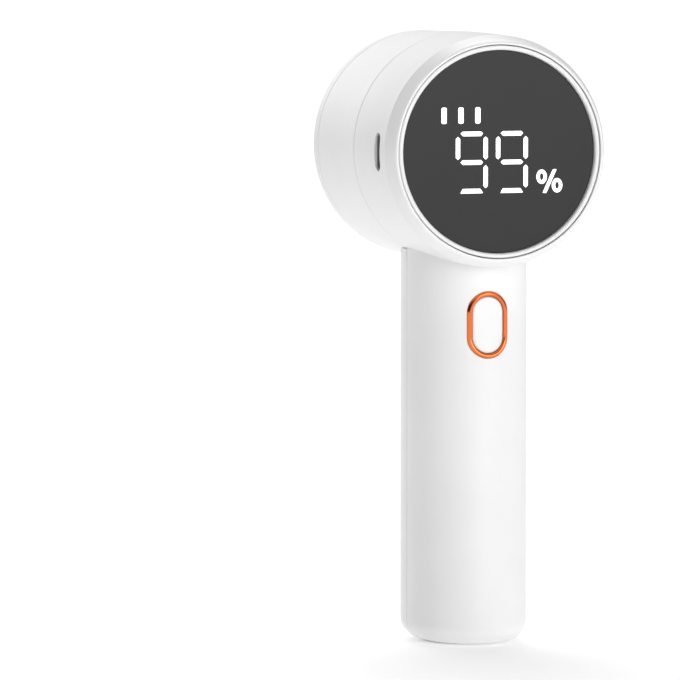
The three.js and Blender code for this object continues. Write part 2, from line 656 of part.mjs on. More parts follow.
// ---------------------------------------------------------------- blade chamber with its throat

// Radii and planes of the cup that the blade disc turns in.
const CHAMBER = { hole: 4.5, inner: 27, outer: 28.3, flange: 30.1, floor: 7.7, ceiling: 9, step: 31.2, end: 32.6 };

function bladeChamber() {
  const { hole, inner: bore, outer: wall, flange, floor, ceiling, step, end } = CHAMBER;
  const cup = turned([
    [hole, floor], [wall, floor], [wall, step], [flange, step], [flange, end], [bore, end], [bore, ceiling],
    [hole, ceiling], [hole, floor],
  ]);
  const [width, [y0, y1]] = SPOUT_OUTER;
  const outer = block([-width / 2, width / 2], [y0, y1], [SPOUT_END, -24]).subtract(disc(bore + 0.5, 0, 40));
  const inner = block([SPOUT_WALL - width / 2, width / 2 - SPOUT_WALL], [y0 + SPOUT_WALL + 0.3, y1 - SPOUT_WALL],
    [SPOUT_END - 5, -20]);
  return cup.add(outer).subtract(inner);
}

add(head, 'blade_chamber', bladeChamber(), 'liner');

// ---------------------------------------------------------------- cutting net and its lock ring

function netHoles() {
  const holes = [];
  const put = (x, z, diameter) => holes.push({ x, z, radius: diameter / 2 });
  const polar = (radius, degrees, diameter) => {
    const turn = THREE.MathUtils.degToRad(degrees);
    put(radius * Math.cos(turn), radius * Math.sin(turn), diameter);
  };
  for (let k = 0; k < 32; k += 1) {
    polar(22.3, k * 11.25, 2.57);
    polar(18.9, (k + 0.5) * 11.25, 2.4);
  }
  const pitch = 3.45;
  const columns = [[2, 3, 4], [1.5, 2.5, 3.5], [0, 1, 2, 3, 4], [0.5, 1.5, 2.5, 3.5], [0, 1, 2], [0.5]];
  for (const [column, steps] of columns.entries()) {
    const x = column * pitch * Math.cos(Math.PI / 6);
    for (const step of steps) {
      for (const side of x === 0 ? [1] : [-1, 1]) {
        for (const up of step === 0 ? [1] : [-1, 1]) {
          put(side * x, up * step * pitch, 2.2);
        }
      }
    }
  }
  for (let k = 0; k < 6; k += 1) {
    polar(15.7, 30 + 60 * k - 11, 1.4);
    polar(15.7, 30 + 60 * k + 11, 1.4);
    polar(4.3, 30 + 60 * k, 1.4);
  }
  put(0, 0, 1.4);
  return holes;
}

function netPlate() {
  const outline = new THREE.Shape();
  outline.absarc(0, 0, NET_R, 0, Math.PI * 2, false);
  for (const { x, z, radius } of netHoles()) {
    outline.holes.push(roundHole(x, z, radius, 4));
  }
  const geometry = new THREE.ExtrudeGeometry(outline, { depth: NET_THICK, bevelEnabled: false, curveSegments: 36 });
  geometry.rotateX(Math.PI / 2);
  geometry.translate(0, NET_SEAT + NET_THICK, 0);
  const place = geometry.attributes.position;
  for (let i = 0; i < place.count; i += 1) {
    const radius = Math.hypot(place.getX(i), place.getZ(i));
    place.setY(i, place.getY(i) + netUnder(radius) - NET_SEAT);
  }
  return solidFrom(geometry);
}

// The net's carrier: a flat ring under the net with a skirt behind it.
const CARRIER_RING = { inner: 25.2, skirt: 28.7, outer: 29.6, under: 36.3 };
const netCarrier = turned([
  [CARRIER_RING.inner, CARRIER_RING.under], [CARRIER_RING.skirt, CARRIER_RING.under],
  [CARRIER_RING.skirt, LOCK_SEAM + GAP], [CARRIER_RING.outer, LOCK_SEAM + GAP],
  [CARRIER_RING.outer, NET_SEAT - GAP], [CARRIER_RING.inner, NET_SEAT - GAP],
  [CARRIER_RING.inner, CARRIER_RING.under],
]);

function lockRing() {
  const [round, steps] = [2.6, 2];
  const lip = NET_R + 0.4;
  const inner = CARRIER_RING.outer + GAP;
  const profile = [[inner, LOCK_SEAM + GAP / 2], [HEAD_REAR_R, LOCK_SEAM + GAP / 2]];
  for (let k = 0; k <= steps; k += 1) {
    const angle = (k / steps) * (Math.PI / 2);
    profile.push([HEAD_REAR_R - round * (1 - Math.cos(angle)), HEAD_BACK - round * (1 - Math.sin(angle))]);
  }
  profile.push([lip + 0.3, HEAD_BACK], [lip, HEAD_BACK - 0.3], [lip, NET_SEAT], [inner, NET_SEAT]);
  profile.push([inner, LOCK_SEAM + GAP / 2]);
  return turned(profile, ROUND);
}

add(head, 'net_plate', netPlate(), 'net');
add(head, 'net_carrier', netCarrier, 'shell');
add(head, 'net_lock_ring', lockRing(), 'shell');

// ---------------------------------------------------------------- cell, contacts and leads

const CELL_TOP = CELL_Z + CELL_LENGTH;
const TAB_THICK = 0.6;
const LEAD_R = 0.6;

add(group, 'battery_cell', upright(CELL_R, CELL_Z, CELL_TOP, 28).translate([0, CELL_Y, 0]), 'cell');
add(group, 'battery_tab_top', block([-3, 3], [CELL_Y - 4, CELL_Y + 4], [CELL_TOP + GAP, CELL_TOP + GAP + TAB_THICK]), 'steel');
add(group, 'battery_tab_bottom', block([-4, 4], [CELL_Y - 4, CELL_Y + 4], [CELL_Z - GAP - TAB_THICK, CELL_Z - GAP]), 'steel');

const LEADS = {
  cell_lead_red: { colour: 'red', points: [[2, -4, 72.4], [4, -3, 74], [6, -4, 76], [6, -7.2, 78]] },
  cell_lead_black: { colour: 'dark', points: [[-11, -4, 6], [-11, -3.6, 30], [-11, -3.6, 60], [-10, -7.2, 78]] },
  motor_lead_red: { colour: 'red', points: [[4, -7, 97], [5, -5, 106], [6, -18, 108], [9, -16, 116], [13.5, -14, 126]] },
  motor_lead_black: {
    colour: 'dark',
    points: [[-4, -7, 97], [-5, -5, 106], [-6, -18, 108], [-9, -16, 116], [-13.5, -14, 126]],
  },
};

for (const [name, { colour, points }] of Object.entries(LEADS)) {
  add(group, name, wire(points, LEAD_R), colour);
}

export default group;
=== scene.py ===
"""Fabric shaver: the visual model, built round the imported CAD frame.

Lengths in the building functions are millimetres in the CAD frame; mesh_object() turns them into metres.
The display faces -Y, the cutting net faces +Y, the charging socket is on the -X side of the head.
"""
import json
import math

import bmesh
import bpy
import numpy as np
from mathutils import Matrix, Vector


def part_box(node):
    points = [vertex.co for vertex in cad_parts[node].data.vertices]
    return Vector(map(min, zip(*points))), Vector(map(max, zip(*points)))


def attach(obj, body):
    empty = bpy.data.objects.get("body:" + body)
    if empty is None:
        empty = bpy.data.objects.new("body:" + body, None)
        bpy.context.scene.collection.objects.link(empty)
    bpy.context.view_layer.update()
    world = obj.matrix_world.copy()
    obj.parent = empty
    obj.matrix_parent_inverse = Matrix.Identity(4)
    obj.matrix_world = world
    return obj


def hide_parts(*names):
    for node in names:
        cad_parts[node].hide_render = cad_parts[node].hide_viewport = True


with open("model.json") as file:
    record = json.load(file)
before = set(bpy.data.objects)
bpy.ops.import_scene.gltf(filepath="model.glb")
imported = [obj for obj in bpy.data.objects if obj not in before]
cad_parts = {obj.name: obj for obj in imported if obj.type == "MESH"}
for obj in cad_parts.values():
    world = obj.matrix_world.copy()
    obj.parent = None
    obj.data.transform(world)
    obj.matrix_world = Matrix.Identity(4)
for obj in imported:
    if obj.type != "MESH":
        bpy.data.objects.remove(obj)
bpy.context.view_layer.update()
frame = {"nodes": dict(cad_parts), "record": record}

MM = 0.001
AROUND = 192                     # steps round a large turned piece


def box_mm(node):
    """Lowest and highest corner of a CAD node, in millimetres."""
    low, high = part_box(node)
    return [v / MM for v in low], [v / MM for v in high]


# ------------------------------------------------------------------ sizes, from the frame

LENS_LOW, LENS_HIGH = box_mm("display_lens")
RING_LOW, RING_HIGH = box_mm("net_lock_ring")
COVER_LOW, COVER_HIGH = box_mm("bin_cover")
FRONT_LOW, FRONT_HIGH = box_mm("front_shell")
BEZEL_LOW, BEZEL_HIGH = box_mm("button_bezel")
WINDOW_LOW, WINDOW_HIGH = box_mm("bin_window")
LINER_LOW, LINER_HIGH = box_mm("bin_liner")
USB_LOW, USB_HIGH = box_mm("usb_socket")
NET_HIGH = box_mm("net_plate")[1]
CARRIER_HIGH = box_mm("blade_carrier")[1]
PAD_HIGH = box_mm("base_pad")[1]

HEAD_Z = (LENS_LOW[2] + LENS_HIGH[2]) / 2
HEAD_R = FRONT_HIGH[0]           # at the seam between the two shells
HEAD_REAR_R = RING_HIGH[0]       # at the lock ring
HEAD_FRONT = FRONT_LOW[1]
HEAD_BACK = RING_HIGH[1]
LOCK_SEAM = RING_LOW[1] - 0.15
LENS_R = LENS_HIGH[0] + 0.15
LENS_FACE = LENS_LOW[1] + 0.1
MOUTH_R = LENS_R + 1.6           # inside of the rim that the display sits in
NET_R = NET_HIGH[0]
NET_EDGE = HEAD_BACK - 0.6       # the plane of the net's edge
NET_DOME = 2.5                   # how far its middle bulges
HALF_X = COVER_HIGH[0]           # half the handle's width
# The front (-1) and back (1) halves of the handle: their depths and the superellipse powers of their sections
HALF_Y = {-1: -(BEZEL_LOW[1] + 0.2), 1: COVER_HIGH[1]}
POWER = {-1: 2.2, 1: 2.6}
HANDLE_BOTTOM = COVER_LOW[2]
HANDLE_EDGE = 5.5                # radius round the bottom of the handle
HANDLE_SKIN = 1.8
BUTTON_Z = (BEZEL_LOW[2] + BEZEL_HIGH[2]) / 2
BUTTON_SIZE = (BEZEL_HIGH[0] * 2, BEZEL_HIGH[2] - BEZEL_LOW[2])
BUTTON_BAND = 1.4                # width of the copper ring
WINDOW_Z = (WINDOW_LOW[2] + WINDOW_HIGH[2]) / 2
WINDOW_SIZE = (WINDOW_HIGH[0] * 2, WINDOW_HIGH[2] - WINDOW_LOW[2])
USB_Y = (USB_LOW[1] + USB_HIGH[1]) / 2
PART_GAP = 0.14                  # half the visible gap at a seam
EDGE = 0.22                      # softened edge beside a seam

# ------------------------------------------------------------------ outlines


def arc(centre, radii, start, end, steps):
    """Points of an elliptical arc; angles in degrees."""
    angles = np.radians(np.linspace(start, end, steps + 1))
    return [(centre[0] + radii[0] * math.cos(a), centre[1] + radii[1] * math.sin(a)) for a in angles]


def curve(start, control, end, steps=14):
    """Points of a quadratic curve, without its first point."""
    points = []
    for t in np.linspace(0, 1, steps + 1)[1:]:
        weights = ((1 - t) ** 2, 2 * t * (1 - t), t * t)
        points.append(tuple(sum(w * p[k] for w, p in zip(weights, (start, control, end))) for k in range(2)))
    return points


def rounded(corners, steps=5):
    """A closed outline from (x, y) or (x, y, radius) corners, each radius drawn as a curve."""
    points = []
    for i, corner in enumerate(corners):
        here = np.array(corner[:2], float)
        radius = corner[2] if len(corner) > 2 else 0
        if not radius:
            points.append(tuple(here))
            continue
        before = np.array(corners[i - 1][:2], float) - here
        after = np.array(corners[(i + 1) % len(corners)][:2], float) - here
        start = here + before / np.linalg.norm(before) * radius
        end = here + after / np.linalg.norm(after) * radius
        points.append(tuple(start))
        points.extend(curve(start, here, end, steps))
    return points


def circle(centre, radius, steps=24):
    """A closed circle of as many points as steps."""
    return arc(centre, (radius, radius), 0, 360 - 360 / steps, steps - 1)


def stadium(width, height, steps=24):
    """A stadium standing on its round end: (x, z) points round its centre."""
    radius, reach = width / 2, (height - width) / 2
    top = arc((0, reach), (radius, radius), 0, 180, steps)
    bottom = arc((0, -reach), (radius, radius), 180, 360, steps)
    sides = 8
    left = [(-radius, reach - 2 * reach * k / sides) for k in range(1, sides)]
    right = [(radius, -reach + 2 * reach * k / sides) for k in range(1, sides)]
    return top + left + bottom + right


def surface_y(x, side=1):
    """How far the handle's surface lies from its middle plane at x."""
    return HALF_Y[side] * (1 - min(abs(x) / HALF_X, 0.999) ** POWER[side]) ** (1 / POWER[side])


# ------------------------------------------------------------------ meshes


def mesh_object(name, points, faces):
    """A closed mesh from points in millimetres, its faces turned outwards."""
    mesh = bpy.data.meshes.new(name)
    mesh.from_pydata([tuple(c * MM for c in p) for p in points], [], faces)
    shape = bmesh.new()
    shape.from_mesh(mesh)
    bmesh.ops.recalc_face_normals(shape, faces=shape.faces)
    shape.to_mesh(mesh)
    shape.free()
    piece = bpy.data.objects.new(name, mesh)
    bpy.context.scene.collection.objects.link(piece)
    return piece


def turned(name, profile, around=AROUND):
    """A closed (radius, y) profile turned about the head's axis."""
    points, rows = [], []
    for radius, y in profile:
        if radius < 1e-6:
            rows.append([len(points)] * around)
            points.append((0, y, HEAD_Z))
            continue
        rows.append(range(len(points), len(points) + around))
        for k in range(around):
            angle = 2 * math.pi * k / around
            points.append((radius * math.cos(angle), y, HEAD_Z + radius * math.sin(angle)))
    faces = []
    for row, following in zip(rows, rows[1:] + rows[:1]):
        for k in range(around):
            n = (k + 1) % around
            corners = list(dict.fromkeys((row[k], row[n], following[n], following[k])))
            if len(corners) > 2:
                faces.append(corners)
    return mesh_object(name, points, faces)


def loft(name, rings):
    """A skin through rings of equally many points, closed by a flat face at each end."""
    count = len(rings[0])
    points = [tuple(p) for ring in rings for p in ring]
    faces = [list(range(count)), list(range(len(points) - count, len(points)))]
    for k in range(len(rings) - 1):
        for i in range(count):
            n = (i + 1) % count
            faces.append((k * count + i, k * count + n, (k + 1) * count + n, (k + 1) * count + i))
    return mesh_object(name, points, faces)


def slab(name, outline, y0, y1, centre=(0, 0)):
    """An (x, z) outline extruded along Y."""
    return loft(name, [[(centre[0] + x, y, centre[1] + z) for x, z in outline] for y in (y0, y1)])


def boolean(target, tool, operation="DIFFERENCE"):
    """Cuts or joins with a tool, which is used up."""
    modifier = target.modifiers.new("boolean", "BOOLEAN")
    modifier.operation, modifier.solver, modifier.object = operation, "MANIFOLD", tool
    graph = bpy.context.evaluated_depsgraph_get()
    result = bpy.data.meshes.new_from_object(target.evaluated_get(graph))
    target.modifiers.clear()
    target.data = result
    bpy.data.objects.remove(tool)
    return target


def merged(name, pieces):
    """One object from several that stay separate shells."""
    shape = bmesh.new()
    for piece in pieces:
        shape.from_mesh(piece.data)
        bpy.data.objects.remove(piece)
    mesh = bpy.data.meshes.new(name)
    shape.to_mesh(mesh)
    shape.free()
    joined = bpy.data.objects.new(name, mesh)
    bpy.context.scene.collection.objects.link(joined)
    return joined


def dress(piece, body, material, slot, *nodes, sharp=32):
    """Shading, material, body and the CAD nodes that the piece stands for."""
    mesh = piece.data
    mesh.polygons.foreach_set("use_smooth", [True] * len(mesh.polygons))
    mesh.set_sharp_from_angle(angle=math.radians(sharp))
    weighted = piece.modifiers.new("weighted", "WEIGHTED_NORMAL")
    weighted.keep_sharp = True
    mesh.materials.clear()
    mesh.materials.append(material)
    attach(piece, body)
    if nodes:
        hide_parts(*nodes)
    return piece


# ------------------------------------------------------------------ materials


class Nodes:
    """Small helper that adds nodes to a material and links them."""

    def __init__(self, name):
        self.material = bpy.data.materials.new(name)
        self.material.use_nodes = True
        self.tree = self.material.node_tree
        self.shader = self.tree.nodes["Principled BSDF"]
        self.place = self.add("ShaderNodeTexCoord").outputs["Object"]

    def add(self, kind, **settings):
        node = self.tree.nodes.new(kind)
        for key, value in settings.items():
            if key in node.inputs:
                node.inputs[key].default_value = value
            else:
                setattr(node, key, value)
        return node

    def link(self, source, target):
        self.tree.links.new(source, target)

    def noise(self, scale, detail=4, stretch=None):
        node = self.add("ShaderNodeTexNoise", Scale=scale, Detail=detail)
        if stretch:
            mapping = self.add("ShaderNodeMapping", Scale=stretch)
            self.link(self.place, mapping.inputs["Vector"])
            self.link(mapping.outputs["Vector"], node.inputs["Vector"])
        else:
            self.link(self.place, node.inputs["Vector"])
        return node.outputs["Fac"]

    def spread(self, source, low, high, into):
        node = self.add("ShaderNodeMapRange")
        self.link(source, node.inputs["Value"])
        node.inputs["To Min"].default_value = low
        node.inputs["To Max"].default_value = high
        self.link(node.outputs["Result"], into)

    def tint(self, source, first, second, into):
        ramp = self.add("ShaderNodeValToRGB")
        ramp.color_ramp.elements[0].position = 0.35
        ramp.color_ramp.elements[0].color = (*first, 1)
        ramp.color_ramp.elements[1].position = 0.65
        ramp.color_ramp.elements[1].color = (*second, 1)
        self.link(source, ramp.inputs["Fac"])
        self.link(ramp.outputs["Color"], into)

    def bump(self, source, strength, distance=0.0001):
        node = self.add("ShaderNodeBump", Strength=strength, Distance=distance)
        self.link(source, node.inputs["Height"])
        self.link(node.outputs["Normal"], self.shader.inputs["Normal"])


def moulded(name, colour, roughness, grain=2600, strength=0.12, shift=0.015, **fixed):
    """Moulded plastic: a fine spark-eroded grain, and colour and gloss that drift a little."""
    nodes = Nodes(name)
    drift = nodes.noise(35, 3)
    lighter = tuple(min(1, c * (1 + shift)) for c in colour)
    darker = tuple(c * (1 - shift) for c in colour)
    nodes.tint(drift, darker, lighter, nodes.shader.inputs["Base Color"])
    nodes.spread(nodes.noise(90, 5), roughness - 0.04, roughness + 0.04, nodes.shader.inputs["Roughness"])
    nodes.bump(nodes.noise(grain, 2), strength, 0.00002)
    for key, value in fixed.items():
        nodes.shader.inputs[key.replace("_", " ")].default_value = value
    return nodes.material


def metal(name, colour, roughness, grain=(1, 1, 1), scale=900, strength=0.08, shift=0.06):
    """Metal with a directional grain."""
    nodes = Nodes(name)
    nodes.shader.inputs["Metallic"].default_value = 1
    streaks = nodes.noise(scale, 5, grain)
    darker = tuple(c * (1 - shift) for c in colour)
    nodes.tint(streaks, darker, colour, nodes.shader.inputs["Base Color"])
    nodes.spread(streaks, roughness * 0.8, roughness * 1.25, nodes.shader.inputs["Roughness"])
    nodes.bump(streaks, strength, 0.00002)
    return nodes.material


def glowing(name, colour, strength):
    """A lit plastic segment, a little uneven like a real light guide."""
    nodes = Nodes(name)
    darker = tuple(c * 0.97 for c in colour)
    nodes.tint(nodes.noise(700, 2), darker, colour, nodes.shader.inputs["Base Color"])
    nodes.shader.inputs["Emission Color"].default_value = (*colour, 1)
    nodes.shader.inputs["Emission Strength"].default_value = strength
    nodes.shader.inputs["Roughness"].default_value = 0.4
    return nodes.material


def smoked(name, colour, alpha, roughness):
    """Clear plastic with a grey tint, seen through."""
    nodes = Nodes(name)
    darker = tuple(c * 0.96 for c in colour)
    nodes.tint(nodes.noise(60, 2), darker, colour, nodes.shader.inputs["Base Color"])
    nodes.spread(nodes.noise(200, 3), roughness * 0.7, roughness * 1.3, nodes.shader.inputs["Roughness"])
    nodes.shader.inputs["Alpha"].default_value = alpha
    return nodes.material


def board_material(name):
    """Solder mask with faint copper tracks under it."""
    nodes = Nodes(name)
    tracks = nodes.add("ShaderNodeTexBrick", Scale=180)
    nodes.link(nodes.place, tracks.inputs["Vector"])
    tracks.inputs["Color1"].default_value = (0.012, 0.10, 0.045, 1)
    tracks.inputs["Color2"].default_value = (0.016, 0.12, 0.055, 1)
    tracks.inputs["Mortar"].default_value = (0.03, 0.19, 0.08, 1)
    nodes.link(tracks.outputs["Color"], nodes.shader.inputs["Base Color"])
    nodes.bump(tracks.outputs["Fac"], 0.2, 0.00005)
    nodes.shader.inputs["Roughness"].default_value = 0.35
    return nodes.material


WHITE = moulded("white_plastic", (0.86, 0.857, 0.862), 0.34)
WHITE_INNER = moulded("white_inner_plastic", (0.78, 0.78, 0.78), 0.5)
LENS = moulded("smoked_lens", (0.0105, 0.0105, 0.011), 0.30, 1200, 0.02, 0.05, Specular_IOR_Level=0.3)
DIGITS = glowing("lit_digits", (1.0, 1.0, 1.0), 0.9)
COPPER = metal("rose_gold", (0.80, 0.20, 0.065), 0.12, (1, 1, 0.05), 500, 0.03)
STEEL = metal("satin_steel", (0.62, 0.63, 0.65), 0.26, (0.1, 1, 0.1), 1200)
NET = moulded("enamelled_net", (0.80, 0.80, 0.81), 0.36, 3200, 0.08)
SMOKE = smoked("smoked_window", (0.16, 0.16, 0.165), 0.2, 0.07)
LINER = moulded("grey_liner", (0.62, 0.61, 0.62), 0.5)
BOARD = board_material("solder_mask")
DARK = moulded("black_plastic", (0.022, 0.022, 0.024), 0.42, shift=0.1)
PAD = moulded("pale_silicone", (0.62, 0.62, 0.63), 0.72, 1500, 0.3)
CELL = moulded("blue_sleeve", (0.025, 0.11, 0.42), 0.3, 400, 0.05, 0.08)
RED = moulded("red_insulation", (0.46, 0.02, 0.015), 0.4, shift=0.06)
BLACK = moulded("black_insulation", (0.012, 0.012, 0.012), 0.4, shift=0.1)
BRASS = metal("sintered_bronze", (0.62, 0.42, 0.16), 0.38)
SOCKET = moulded("socket_grey", (0.20, 0.20, 0.21), 0.38, shift=0.05)

# ------------------------------------------------------------------ head shells

SKIN = 1.5                       # wall of the head shells
FRONT_CREASE = HEAD_FRONT + 4.6  # where the side wall meets the rounded front rim
BACK_CREASE = HEAD_BACK - 2.4    # where it meets the rounded rim of the lock ring
CREASE_NICK = (0.06, 0.05)       # the small step that keeps a crease crisp: inwards and along
BARREL = 0.35                    # how much narrower the wall is at the front crease
FRONT_LAND = 0.5                 # flat part of the front rim
FRONT_LEAN = (1.35, 0.1)         # how far the rim curve's control point lies inwards and below its end
MOUTH_BACK = -25                 # where the mouth round the display ends
BACK_LAND = 0.7                  # flat part of the lock ring's rim
BACK_LEAN = (0.8, 0.05)
COLLAR_STEP = 1.4                # width of the shoulder inside the lock ring, which holds the net carrier
COLLAR_BACK = 38.2               # the plane of that shoulder


def wall_r(y):
    """Outside radius of the slightly barrelled head."""
    if y < 0:
        return HEAD_R - BARREL * (y / FRONT_CREASE) ** 2
    return HEAD_R - (HEAD_R - HEAD_REAR_R) * y / LOCK_SEAM


def wall(start, end, steps=8):
    """Points of the side wall from one plane to another."""
    return [(wall_r(y), y) for y in np.linspace(start, end, steps)]


def rim_curve(crease, end, radius_in, lean):
    """The rounded rim, from its crease on the side wall to the flat land at the end of the head."""
    start = (wall_r(crease) - CREASE_NICK[0], crease + math.copysign(CREASE_NICK[1], end))
    control = (start[0] - lean[0], end - math.copysign(lean[1], end))
    return curve(start, control, (radius_in, end), 18)


def front_head():
    """The display half of the head, up to the seam at y = 0."""
    inner, lip = HEAD_R - SKIN, MOUTH_R + FRONT_LAND
    side = rounded([(inner, -PART_GAP), (wall_r(0), -PART_GAP, EDGE), (wall_r(0), -1)])[:-1]
    side += wall(-1, FRONT_CREASE) + rim_curve(FRONT_CREASE, HEAD_FRONT, lip, FRONT_LEAN)
    edge = rounded([(lip, HEAD_FRONT), (MOUTH_R, HEAD_FRONT, 0.25), (MOUTH_R, MOUTH_BACK)])[1:]
    return turned("front_head", side + edge + [(inner, MOUTH_BACK)])


def rear_head():
    """The cutter half of the head, from the seam at y = 0 to the lock ring."""
    end = LOCK_SEAM - PART_GAP
    profile = rounded([(HEAD_R - SKIN, PART_GAP), (wall_r(0), PART_GAP, EDGE), (wall_r(end), end, EDGE),
                       (HEAD_REAR_R - SKIN, end)])
    return turned("rear_housing", profile)


def build_lock_ring():
    lip, start = NET_R + 0.35, LOCK_SEAM + PART_GAP
    land, shoulder = lip + BACK_LAND, lip + COLLAR_STEP
    side = rounded([(shoulder, start), (wall_r(start), start, EDGE), (wall_r(start + 1), start + 1)])[:-1]
    side += wall(start + 1, BACK_CREASE, 3) + rim_curve(BACK_CREASE, HEAD_BACK, land, BACK_LEAN)
    edge = rounded([(land, HEAD_BACK), (lip, HEAD_BACK, 0.3), (lip, COLLAR_BACK)])[1:]
    ring = turned("net_lock_collar", side + edge + [(shoulder, COLLAR_BACK)])
    return dress(ring, "lock_ring", WHITE, "shell", "net_lock_ring", sharp=12)


# ------------------------------------------------------------------ handle shells


def half_ring(inset, height, side, plane, steps=72):
    """Half of the handle's section on one side of the parting plane, its two edges softened.

    A plane below zero gives a plain outline that runs on past the middle, for a cutting tool.
    """
    a, b, power = HALF_X - inset, HALF_Y[side] - inset, POWER[side]
    if plane < 0:
        first, outline = 0, [(a, plane)]
    else:
        first = math.asin(((plane + EDGE) / b) ** (power / 2))
        outline = [(a - EDGE + x, plane + EDGE + y) for x, y in arc((0, 0), (EDGE, EDGE), -90, 0, 4)]
    corners = len(outline)
    for t in np.linspace(first, math.pi - first, steps + 1)[1:-1]:
        c, s = math.cos(t), math.sin(t)
        x = math.copysign(abs(c) ** (2 / power) * a, c)
        outline.append((x, abs(s) ** (2 / power) * b))
    outline += [(-x, y) for x, y in reversed(outline[:corners])]
    return [(x, side * y, height(x) if callable(height) else height) for x, y in outline]


def half_handle(name, inset, bottom, top, side, plane, top_edge=0.0):
    """One half of the handle as a solid, round at the bottom. top gives its upper end at each x."""
    edge = HANDLE_EDGE - inset
    rings = []
    for angle in np.radians(np.linspace(0, 90, 15)):
        rings.append(half_ring(inset + edge * (1 - math.sin(angle)), bottom + edge * (1 - math.cos(angle)),
                               side, plane))
    if top_edge:
        rings.append(half_ring(inset, lambda x: top(x) - top_edge, side, plane))
        rings.append(half_ring(inset + top_edge * 0.3, lambda x: top(x) - top_edge * 0.3, side, plane))
        rings.append(half_ring(inset + top_edge, top, side, plane))
    else:
        rings.append(half_ring(inset, top, side, plane))
    return loft(name, rings)


def under_head(radius):
    """Height of the head's underside at x, for a cylinder of that radius about its axis."""
    return lambda x: HEAD_Z - math.sqrt(radius ** 2 - x * x)


FLOOR_THICK = 2                  # of the handle's bottom
PAD_FIT = 0.3                    # room left round and over the foot pad
PAD_STEPS = 144
THROAT = (8.5, 7.4, 15.3)        # the lint throat through the head's wall: half width, front and rear planes
SOCKET_SLOT = (4.1, 10.4)        # the slot round the charging socket
SOCKET_FLARE = 1.12              # how much longer it is at the outside of the wall


def half_shell(name, side, top, top_edge):
    """One half of the handle, hollow and open at the top."""
    shell = half_handle(name, 0, HANDLE_BOTTOM, top, side, PART_GAP, top_edge)
    inner = half_handle("inner", HANDLE_SKIN, HANDLE_BOTTOM + FLOOR_THICK, lambda x: HEAD_Z - 20, side, -5)
    return boolean(shell, inner)


def pad_ring(grow, z):
    """The foot pad's oval outline at one height."""
    radii = (PAD_HIGH[0] + grow, PAD_HIGH[1] + grow)
    return [(x, y, z) for x, y in arc((0, 0), radii, 0, 360 - 360 / PAD_STEPS, PAD_STEPS - 1)]


def pad_room():
    """A tool that cuts the foot pad's seat."""
    return loft("pad_room", [pad_ring(PAD_FIT, z) for z in (-1, PAD_HIGH[2] + PAD_FIT)])


def build_front():
    handle = half_shell("front_housing", -1, under_head(HEAD_R - 1), 0)
    shell = boolean(handle, front_head(), "UNION")
    width, height = BUTTON_SIZE
    boolean(shell, slab("hole", stadium(width + 0.1, height + 0.1), -24, -15, (0, BUTTON_Z)))
    slot = [(-z, x) for x, z in stadium(*SOCKET_SLOT)]
    rings = []
    for x, grow in ((-28, 1), (-32, 1), (-33.5, SOCKET_FLARE)):
        rings.append([(x, USB_Y + w * (1 + (grow - 1) * 2), HEAD_Z + u * grow) for u, w in slot])
    boolean(shell, loft("socket_hole", rings))
    boolean(shell, pad_room())
    return dress(shell, "housing", WHITE, "shell", "front_shell", sharp=12)


def build_rear():
    shell = rear_head()
    half, y0, y1 = THROAT
    throat = rounded([(-half, y0, 1), (half, y0, 1), (half, y1, 1), (-half, y1, 1)])
    rings = [[(x, y, z) for x, y in throat] for z in (HEAD_Z - 40, HEAD_Z - 20)]
    boolean(shell, loft("throat", rings))
    return dress(shell, "housing", WHITE, "shell", "rear_shell")


# ------------------------------------------------------------------ bin cover

ARROW_Z = 88.2                   # middle of the arrow mark
ARROW_LINES = 4                  # its engraved lines, which end in a dot
ARROW_PITCH = 1.65
ARROW_WIDTH = 6.9
ARROW_TAPER = 4.6                # the number of lines at which its width would reach nothing
HOOK = 0.8                       # how far the end of a line hooks out
GROOVE = 0.36
GROOVE_DEPTH = 0.8
DOT_R = 0.36
COVER_GAP = 0.16                 # between the bin cover and the head above it
COVER_EDGE = 0.25                # softened top edge of the bin cover
WINDOW_FIT = (0.12, -0.02)       # how much wider than the window its opening and its panel are


def engraving(name, outline):
    """A tool that cuts an outline into the back of the handle."""
    return slab(name, outline, surface_y(0) - GROOVE_DEPTH, surface_y(0) + 1)


def window_tool(name, grow):
    """The outline of the window, as a block through the back of the handle."""
    return slab(name, stadium(WINDOW_SIZE[0] + grow, WINDOW_SIZE[1] + grow), 6, 20, (0, WINDOW_Z))


def arrow_groove(width, z):
    """One engraved line with a short hook at its +X end."""
    half, wide = width / 2, GROOVE / 2
    outline = rounded([(-half, z - wide, 0.1), (half, z - wide, 0.1), (half + 0.42, z - 0.75, 0.1),
                       (half + HOOK, z - 0.6, 0.1), (half + 0.3, z + wide, 0.15), (-half, z + wide, 0.1)], 2)
    return engraving("groove", outline)


def build_cover():
    cover = half_shell("bin_cover_shell", 1, under_head(HEAD_R + COVER_GAP), COVER_EDGE)
    boolean(cover, window_tool("hole", WINDOW_FIT[0]))
    boolean(cover, pad_room())
    for k in range(ARROW_LINES):
        reach = ARROW_WIDTH * (1 - k / ARROW_TAPER) - HOOK
        boolean(cover, arrow_groove(reach, ARROW_Z + (2 - k) * ARROW_PITCH))
    boolean(cover, engraving("dot", circle((0, ARROW_Z - 2 * ARROW_PITCH), DOT_R)))
    return dress(cover, "lint_bin", WHITE, "shell", "bin_cover")


def build_window():
    """The smoked panel: a skin of the handle's shape, cut to the window's outline."""
    panel = half_handle("smoked_window", 0.12, HANDLE_BOTTOM, lambda x: HEAD_Z - 40, 1, PART_GAP)
    boolean(panel, half_handle("inner", HANDLE_SKIN - 0.1, HANDLE_BOTTOM + 1, lambda x: HEAD_Z - 30, 1, -5))
    boolean(panel, window_tool("outline", WINDOW_FIT[1]), "INTERSECT")
    return dress(panel, "lint_bin", SMOKE, "smoke", "bin_window")


# ------------------------------------------------------------------ lint bin wall

